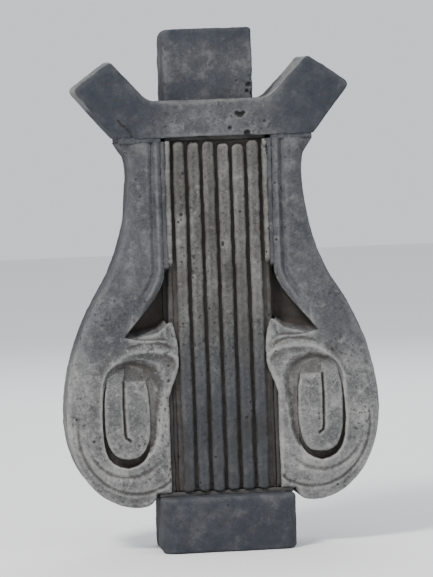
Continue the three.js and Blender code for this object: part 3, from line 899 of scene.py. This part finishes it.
def carve_rib(node, head, seed, cut_down=None, joined_top=0.0, side=1):
    """A string or a border. Its head stops that far below the CAD node's top and is rounded, unless it is
    0. The face steps back over the cut_down heights, and rises by joined_top towards the yoke."""
    low, high = box_mm(node, side)
    centre, half = (low[0] + high[0]) / 2, (high[0] - low[0]) / 2
    grid = Grid(low - (0.4, joined_top, 0), high, RIB_FINE)
    waver = 0.3 * noise(0, seed, grid.z, 21, seed) + 0.2 * noise(0, seed, grid.z, 7, seed + 1)
    across = np.abs(grid.x - centre - 0.5 * waver) - half - 0.6 * waver
    ends = np.abs(grid.z - (low[2] + high[2] - head) / 2) - (high[2] - head - low[2]) / 2
    ends = ends + 0.5 * noise(grid.x, seed, grid.z, 4, seed + 2)
    corner = min(2.6, 0.9 * half) if head else 0.3
    sides = rounded(across, ends, corner)
    crown = 0.5 * np.clip((grid.x - centre) / half, -1, 1) ** 2
    rise = joined_top * smooth(SWELL_FOOT, ARM_TOP, grid.z)
    face = low[1] + crown - rise
    if cut_down:
        foot, top = cut_down
        face = face + CUT_BACK * plateau(grid.z, (foot - 3, foot), (top - 1, top + 4))
    depth = np.maximum(face - grid.y, grid.y - high[1] - 0.5)
    field = rounded(sides, depth, min(2.0, 0.8 * half))
    field = field + 0.16 * grid.noise(9, seed + 3) + 0.16 * grid.noise(4, seed + 4)
    stone(
        node, grid, field, "rib_stone", rib_stone, side=side, stain_and_shade=rib_stain_and_shade, growth_and_shade=rib_painted_shadow,
        pitted=0.95, seed=seed + 5, roughness=1.15,
    )


# The panel's front face, seen between the strings, is darkened: painted shade with brown stain.
def panel_stain_and_shade(points):
    return 0.9 * fall(panel_low[1] + 1, panel_low[1] + 4, points[:, 1])


def panel_growth(points):
    return 0.3 + 0.4 * smooth(110, 200, points[:, 2])


def carve_panel():
    grid = Grid(panel_low, panel_high, COARSE)
    field = box_field(grid, panel_low, panel_high, 0.8)
    kinds = ("panel_dowel", "base_dowel", "upper_tie_dowel", "lower_tie_dowel")
    field = drill(grid, field, [f"{side}_{kind}" for side in ("left", "right") for kind in kinds])
    field += 0.3 * grid.noise(19, 60) + 0.15 * grid.noise(7, 61)
    stone(
        "string_panel", grid, field, "cast_stone", cast_stone, stain_and_shade=panel_stain_and_shade, growth_and_shade=panel_growth,
        pitted=0.8, seed=62,
    )


def chips(field, grid, places, front):
    """Scoops a lump out of the front face at each place (x, z, radius)."""
    for x, z, radius in places:
        away = np.sqrt((grid.x - x) ** 2 + ((grid.y - front) * 0.8) ** 2 + ((grid.z - z) * 1.25) ** 2)
        field = np.maximum(field, radius + 0.4 * grid.noise(2.5, 70) - away)
    return field


def yoke_growth_shade_and_light(points):
    """More dark growth and painted shade towards the horns, and less on the top, which the rain washes and
    which is left paler as if lit from above.
    """
    x, y, z = points.T
    front, back = yoke_low[1], yoke_high[1]
    washed_and_lit_top = plateau(y, (front + 1, front + 4), (back - 5, back - 2)) * smooth(286, 292, z)
    return (0.68 + 0.34 * smooth(24, 60, np.abs(x))) * (1 - 0.75 * washed_and_lit_top)


def carve_yoke():
    outline = ring("yoke", yoke_high[1] - YOKE_ROUND)
    outline = carried_past(outline, yoke_low[2], -JOINT_CARRY, YOKE_SLOPE)
    grid = Grid(yoke_low, yoke_high, FINE)
    px, pz = grid.front_view()
    (edge,) = outline_fields(grid, outline)
    crack = path_distance(px + 0.6 * noise(px, 0, pz, 3, 71), pz, YOKE_CRACK)
    relief = 1.8 * np.clip(1 - crack / 0.9, 0, 1) + 0.5 * smooth(60, 84, np.abs(px))
    face = (yoke_low[1] + relief)[:, None, :]
    wear = np.clip(YOKE_ROUND + 0.4 + 1.2 * grid.noise(21, 72), 1.2, 4)
    field = rounded(edge[:, None, :], np.maximum(face - grid.y, grid.y - yoke_high[1]), wear)
    field = np.maximum(field, yoke_low[2] - grid.z)
    field = chips(field, grid, YOKE_CHIPS, yoke_low[1])
    names = [f"{side}_{kind}" for side in ("left", "right") for kind in ("yoke_dowel", "panel_dowel")]
    field = drill(grid, field, ["top_block_dowel", *names])
    field += 0.32 * grid.noise(18, 73) + 0.15 * grid.noise(6, 74)
    stone(
        "yoke", grid, field, "cast_stone", cast_stone, growth_and_shade=yoke_growth_shade_and_light, seam=yoke_seam,
        scoops=(YOKE_CHIPS, yoke_low[1]), pitted=0.6, seed=75,
    )


# Painted shade over the whole block, with dark growth: least at its middle height, most at the top.
def block_shade_and_growth(points):
    z = points[:, 2]
    return 0.92 - 0.16 * smooth(300, 318, z) + 0.24 * smooth(322, 338, z)


def carve_block():
    """The square block. It is sunk a little into the yoke, so that its worn foot doesn't show."""
    outline = carried_past(ring("top_block", block_high[1] - BLOCK_ROUND), block_low[2], -BLOCK_SUNK)
    grid = Grid(block_low - (0, 0, BLOCK_SUNK), block_high, FINE)
    (edge,) = outline_fields(grid, outline)
    depth = np.maximum(block_low[1] - grid.y, grid.y - block_high[1])
    wear = np.clip(BLOCK_ROUND + 0.7 + 1.1 * grid.noise(15, 80), 1, 4)
    field = rounded(edge[:, None, :], depth, wear)
    field = chips(field, grid, BLOCK_CHIPS, block_low[1])
    field = np.maximum(field, rounded(block_low[0] - grid.x, grid.z - block_high[2], BLOCK_WORN_CORNER))
    left_arris = np.hypot(grid.x - block_low[0] - 0.8, grid.y - block_low[1] - 0.8)
    field = field + 1.5 * np.clip(grid.noise(3.2, 81), 0, 1) * bump(left_arris, 2.6)
    field = drill(grid, field, ["top_block_dowel"])
    field += 0.3 * grid.noise(16, 82) + 0.15 * grid.noise(6, 83)
    stone(
        "top_block", grid, field, "cast_stone", cast_stone, growth_and_shade=block_shade_and_growth,
        scoops=(BLOCK_CHIPS, block_low[1]), pitted=0.6, seed=84,
    )


# Painted shade over the whole base, which is a little darker towards the bottom.
def base_painted_shade(points):
    return 0.92 + 0.08 * fall(0, 14, points[:, 2])


def carve_base():
    grid = Grid(base_low, base_high, FINE)
    middle, half = (base_low + base_high) / 2, (base_high - base_low) / 2
    across, deep, tall = (
        np.abs(values - middle[axis]) - half[axis] for axis, values in enumerate((grid.x, grid.y, grid.z))
    )
    wear = np.clip(2.6 + 1.1 * grid.noise(17, 90), 1.2, 4.5)
    field = rounded(rounded(across, deep, BASE_CORNER), tall, wear)
    field = drill(grid, field, ["left_base_dowel", "right_base_dowel"])
    field += 0.34 * grid.noise(20, 91) + 0.15 * grid.noise(7, 92)
    stone(
        "base_block", grid, field, "cast_stone", cast_stone, growth_and_shade=base_painted_shade, pitted=0.5, seed=93
    )


def carve_bed(node, low, high, seed, side=1, step=RIB_FINE, shape=None, growth_and_shade=0.35, stain_and_shade=None):
    """A mortar bed, filled almost flush with the stones. Its growth value darkens it evenly, as dark growth
    and painted shade like the stones around it.
    """
    grid = Grid(low, high, step)
    field = box_field(grid, np.array(low, float), np.array(high, float), 0.3)
    if shape:
        field = shape(grid, field)
    field = field + 0.2 * grid.noise(8, seed) + 0.12 * grid.noise(3.5, seed + 1)
    stone(
        node, grid, field, "mortar", mortar, side=side, pitted=0.4, seed=seed + 2, stain_and_shade=stain_and_shade,
        growth_and_shade=lambda points: np.full(len(points), growth_and_shade),
        seam=lambda points: np.ones(len(points)),
    )


def shadowed(points):
    return np.full(len(points), 0.6)


# Painted shade on the arm's mortar bed below the recess's top, where it lies deep in the recess and in the
# gap beside the border.
def shade_below_bead(points):
    return 0.75 * fall(182, 187, points[:, 2])


def arm_bed_face(grid, field):
    """The bed beside the arm lies just behind the faces, and deep inside the recess."""
    z = grid.z
    face = ARM_FRONT + 0.5 - swell(z)
    sill = RECESS_SPAN[0]
    face = face + 3.4 * fall(sill - 4, sill, z) + 13 * plateau(z, (sill - 1, sill + 4), (182, 186))
    return np.maximum(field, face - grid.y)


def carve_beds():
    half = panel_high[0]
    under, over = panel_low[2], yoke_low[2]

    base_reach = base_high[0] - 0.2
    front, back = BASE_BED_DEPTHS
    low, high = (-base_reach, front, base_high[2] - 0.4), (base_reach, back, under + 0.3)
    carve_bed("base_bed", low, high, 100, stain_and_shade=shadowed)

    front, back = CENTRE_BED_DEPTHS
    low, high = (-half, front, ARM_TOP - 0.3), (half, back, over + 0.4)
    carve_bed("centre_yoke_bed", low, high, 103, stain_and_shade=shadowed)

    low = (block_low[0] + TOP_BED_INSET, block_low[1] + TOP_BED_INSET, top_bed_low[2] - 0.6)
    high = (block_high[0] - TOP_BED_INSET, block_high[1] - TOP_BED_INSET, block_low[2] + 0.5)
    carve_bed("top_bed", low, high, 106, growth_and_shade=0.9)

    for side_name, side in SIDES:
        front, back = YOKE_BED_DEPTHS
        low, high = (ARM_INNER - 0.3, front, ARM_TOP - 0.7), (YOKE_BED_REACH, back, over + 0.7)
        carve_bed(f"{side_name}_yoke_bed", low, high, 110 + side, side=side, growth_and_shade=0.78)

        front, back = ARM_BED_DEPTHS
        low, high = (half - 0.3, front, under), (ARM_INNER + 0.3, back, ARM_TOP)
        carve_bed(
            f"{side_name}_arm_bed", low, high, 115 + side, side=side, step=ARM_BED_STEP, shape=arm_bed_face,
            growth_and_shade=0.65, stain_and_shade=shade_below_bead,
        )


for side_name, side_sign in SIDES:
    carve_arm(side_name, side_sign)
    carve_bead(side_name, side_sign)
    carve_core(side_name, side_sign)
    carve_rib(
        f"{side_name}_border",
        0,
        120 + side_sign,
        side=side_sign,
        cut_down=BORDER_CUT,
        joined_top=BORDER_RISE,
    )
for number, head_gap in enumerate(HEADS, start=1):
    carve_rib(f"string_{number}", head_gap, 130 + 7 * number)
carve_panel()
carve_yoke()
carve_block()
carve_base()
carve_beds()
for name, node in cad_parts.items():
    if name.endswith(("_dowel", "_pin")):
        node.material_slots[0].material = steel


# ---------- floor, light and camera ----------

def studio():
    floor = mesh_object(
        "floor",
        np.array([(-4000, -4000, 0), (4000, -4000, 0), (4000, 4000, 0), (-4000, 4000, 0)], float),
        np.array([(0, 1, 2, 3)]),
    )
    material = bpy.data.materials.new("pale_floor")
    material.use_nodes = True
    surface = material.node_tree.nodes["Principled BSDF"]
    surface.inputs["Base Color"].default_value = (0.8, 0.8, 0.8, 1)
    surface.inputs["Roughness"].default_value = 0.9
    floor.data.materials.append(material)

    world = bpy.data.worlds.new("studio")
    bpy.context.scene.world = world
    world.use_nodes = True
    world.node_tree.nodes["Background"].inputs["Color"].default_value = (0.93, 0.96, 1, 1)
    world.node_tree.nodes["Background"].inputs["Strength"].default_value = 0.95


def area_light(name, place, target, size, power, colour):
    light = bpy.data.lights.new(name, "AREA")
    light.size = size
    light.energy = power
    light.color = colour
    lamp = bpy.data.objects.new(name, light)
    lamp.location = place
    lamp.rotation_euler = (Vector(target) - Vector(place)).to_track_quat("-Z", "Y").to_euler()
    bpy.context.scene.collection.objects.link(lamp)


CAMERA_SIDE = math.radians(-7)
CAMERA_AWAY = 2.2
CAMERA_HEIGHT = 0.3
CAMERA_LEAN = math.radians(2.0)
CAMERA_LENS = 210
AIM = Vector((-0.0007, 0, 0.17))


def camera():
    data = bpy.data.cameras.new("camera")
    data.lens = CAMERA_LENS
    eye = bpy.data.objects.new("camera", data)
    place = Vector(
        (CAMERA_AWAY * math.sin(CAMERA_SIDE), -CAMERA_AWAY * math.cos(CAMERA_SIDE), CAMERA_HEIGHT)
    )
    turn = (AIM - place).to_track_quat("-Z", "Y").to_matrix() @ Matrix.Rotation(-CAMERA_LEAN, 3, "Z")
    eye.matrix_world = Matrix.Translation(place) @ turn.to_4x4()
    bpy.context.scene.collection.objects.link(eye)
    bpy.context.scene.camera = eye


studio()
area_light("key", (-0.9, -1.0, 1.5), (0, 0, 0.15), 0.45, 44, (1, 0.98, 0.95))
area_light("fill", (1.3, -0.9, 0.6), (0, 0, 0.15), 1.0, 6, (0.9, 0.95, 1))
area_light("back", (0.3, 1.2, 1.0), (0, 0, 0.2), 0.9, 9, (0.95, 0.98, 1))
camera()
